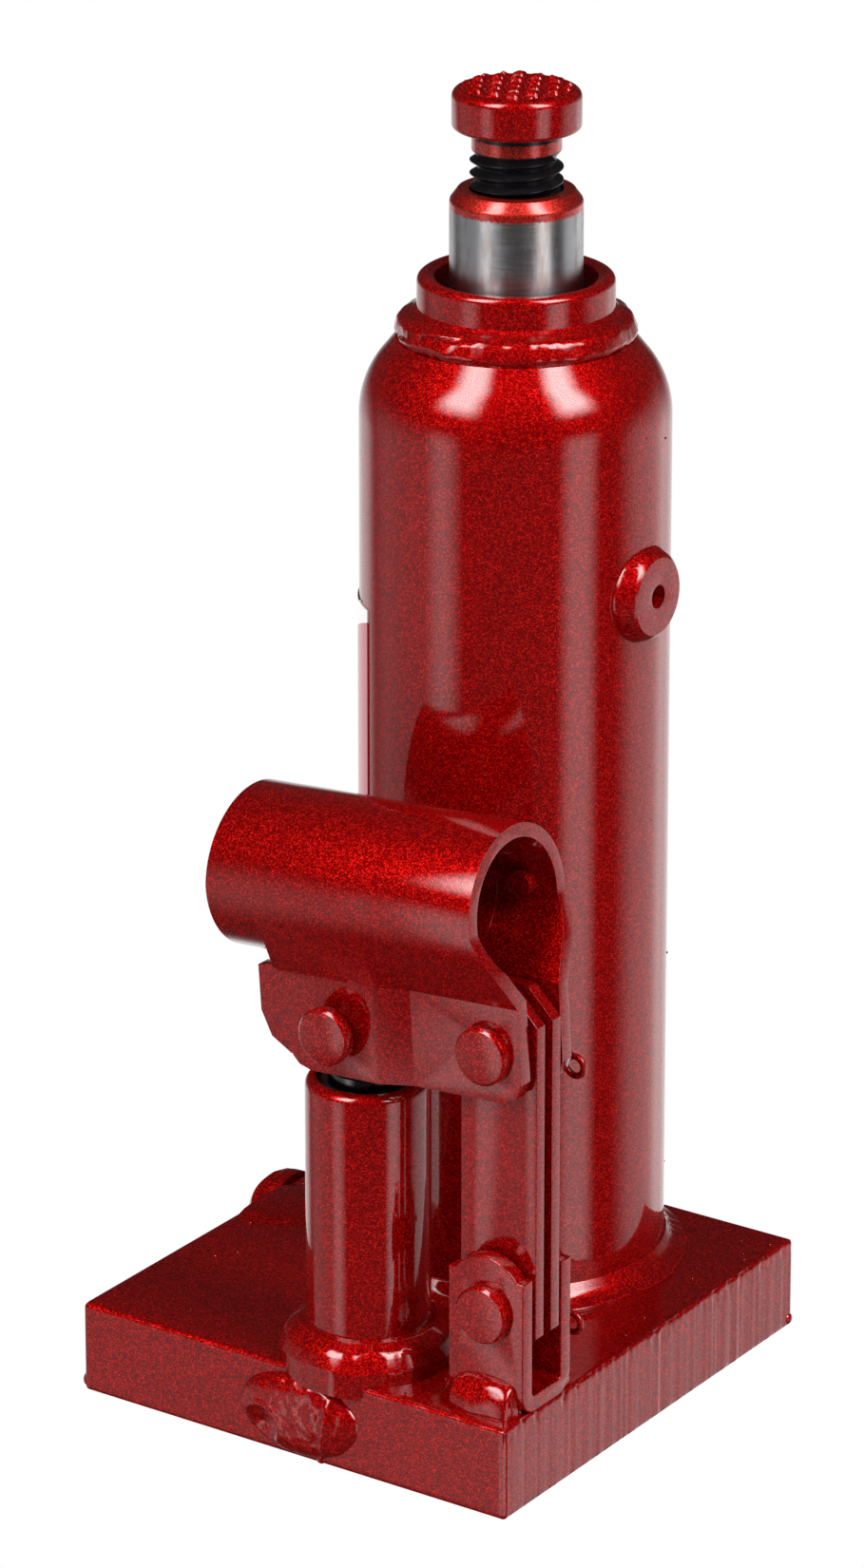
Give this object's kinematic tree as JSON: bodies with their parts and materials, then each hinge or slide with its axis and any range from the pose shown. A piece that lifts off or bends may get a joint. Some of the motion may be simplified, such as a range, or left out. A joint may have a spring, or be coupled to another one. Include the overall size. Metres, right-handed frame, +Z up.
{
  "type": "bottle jack",
  "caption": "Welded hydraulic bottle jack with a square base, a pump with its lever socket and links, a ram and a screw-out saddle.",
  "frame": {"origin": "on the floor under the base plate, on the axis of the lifting ram", "axes": "+Z up along the ram; the pump and its lever stand towards -Y; the handle goes into the socket from -X"},
  "size_m": [0.0852, 0.0854, 0.2004],
  "materials": {
    "metallic_red_paint": "candy red metallic spray paint over welded steel, glossy",
    "ground_steel": "ground bright steel bar",
    "black_oxide_steel": "black oxide steel, oiled",
    "hydraulic_rubber": "moulded nitrile rubber",
    "label_film": null,
    "bearing_bronze": "turned bronze",
    "bearing_steel": "polished bearing steel",
    "soft_copper": "soft annealed copper"
  },
  "bodies": {
    "jack_body": {"base_plate": "metallic_red_paint", "channel_weld_plug": "metallic_red_paint", "cylinder_gasket": "soft_copper", "reservoir_tube": "metallic_red_paint", "reservoir_weld": "metallic_red_paint", "pressure_cylinder": "metallic_red_paint", "collar_weld": "metallic_red_paint", "ram_guide_bush": "bearing_bronze", "ram_wiper_seal": "hydraulic_rubber", "wiper_retaining_clip": "black_oxide_steel", "pump_cylinder": "metallic_red_paint", "pump_cylinder_weld": "metallic_red_paint", "pump_gasket": "soft_copper", "pump_gland_seal": "hydraulic_rubber", "link_bracket": "metallic_red_paint", "bracket_weld": "metallic_red_paint", "bracket_pin": "metallic_red_paint", "bracket_split_pin": "metallic_red_paint", "suction_strainer": "bearing_bronze", "suction_spring": "bearing_steel", "suction_spring_bush": "bearing_steel", "delivery_spring": "bearing_steel", "delivery_seat_bush": "bearing_steel", "label": "label_film"},
    "ram_body": {"ram": "ground_steel", "piston_head": "ground_steel", "piston_seal": "hydraulic_rubber"},
    "screw_carrier": {"screw_stop_ring": "black_oxide_steel"},
    "screw_body": {"extension_screw": "black_oxide_steel"},
    "plunger_body": {"pump_plunger": "ground_steel", "plunger_seal": "hydraulic_rubber"},
    "links_body": {"near_link": "metallic_red_paint", "far_link": "metallic_red_paint"},
    "lever_body": {"handle_socket": "metallic_red_paint", "link_pin": "metallic_red_paint", "link_split_pin": "metallic_red_paint", "plunger_pin": "metallic_red_paint", "plunger_split_pin": "metallic_red_paint"},
    "valve_carrier": {"release_valve_oring": "hydraulic_rubber", "release_valve_ball": "bearing_steel"},
    "valve_body": {"release_valve_screw": "metallic_red_paint"},
    "suction_ball_body": {"suction_ball": "bearing_steel"},
    "delivery_ball_body": {"delivery_ball": "bearing_steel"},
    "filler_plug_body": {"oil_filler_plug": "metallic_red_paint"}
  },
  "joints": [
    {"name": "ram_lift", "type": "slide", "parent": "jack_body", "child": "ram_body", "axis": [0, 0, 1], "range_m": [0, 0.115]},
    {"name": "screw_rise", "type": "slide", "parent": "ram_body", "child": "screw_carrier", "axis": [0, 0, 1], "range_m": [-0.008, 0.04]},
    {"name": "screw_turn", "type": "hinge", "parent": "screw_carrier", "child": "screw_body", "pos_m": [0, 0, 0.186], "axis": [0, 0, 1], "range_deg": [-1445, 7205]},
    {"name": "link_rock", "type": "hinge", "parent": "jack_body", "child": "links_body", "pos_m": [0.0288, -0.0437, 0.0297], "axis": [0, 1, 0], "range_deg": [-2.9, 0.1]},
    {"name": "handle_pump", "type": "hinge", "parent": "links_body", "child": "lever_body", "pos_m": [0.0288, -0.0437, 0.0703], "axis": [0, 1, 0], "range_deg": [0, 33]},
    {"name": "plunger_stroke", "type": "slide", "parent": "jack_body", "child": "plunger_body", "axis": [0, 0, 1], "range_m": [-0.0001, 0.013]},
    {"name": "valve_back_out", "type": "slide", "parent": "jack_body", "child": "valve_carrier", "axis": [-1, 0, 0], "range_m": [0, 0.00187]},
    {"name": "release_valve_turn", "type": "hinge", "parent": "valve_carrier", "child": "valve_body", "pos_m": [-0.045, 0.0005, 0.0084], "axis": [-1, 0, 0], "range_deg": [-1, 541]},
    {"name": "suction_ball_lift", "type": "slide", "parent": "jack_body", "child": "suction_ball_body", "axis": [0, -1, 0], "range_m": [0, 0.0008], "stiffness_N_per_m": 200, "springref_m": -0.001, "deforming": ["suction_spring"]},
    {"name": "delivery_ball_lift", "type": "slide", "parent": "jack_body", "child": "delivery_ball_body", "axis": [0, 1, 0], "range_m": [0, 0.0008], "stiffness_N_per_m": 200, "springref_m": -0.001, "deforming": ["delivery_spring"]},
    {"name": "filler_plug_pull", "type": "slide", "parent": "jack_body", "child": "filler_plug_body", "axis": [1, 0, 0], "range_m": [0, 0.012]}
  ],
  "couplings": [
    {"joint": "screw_turn", "follows": "screw_rise", "rad_per_m": 3141.6},
    {"joint": "link_rock", "follows": "handle_pump", "ratio": -0.086},
    {"joint": "plunger_stroke", "follows": "handle_pump", "m_per_rad": 0.0224},
    {"joint": "release_valve_turn", "follows": "valve_back_out", "rad_per_m": 5026.5}
  ]
}
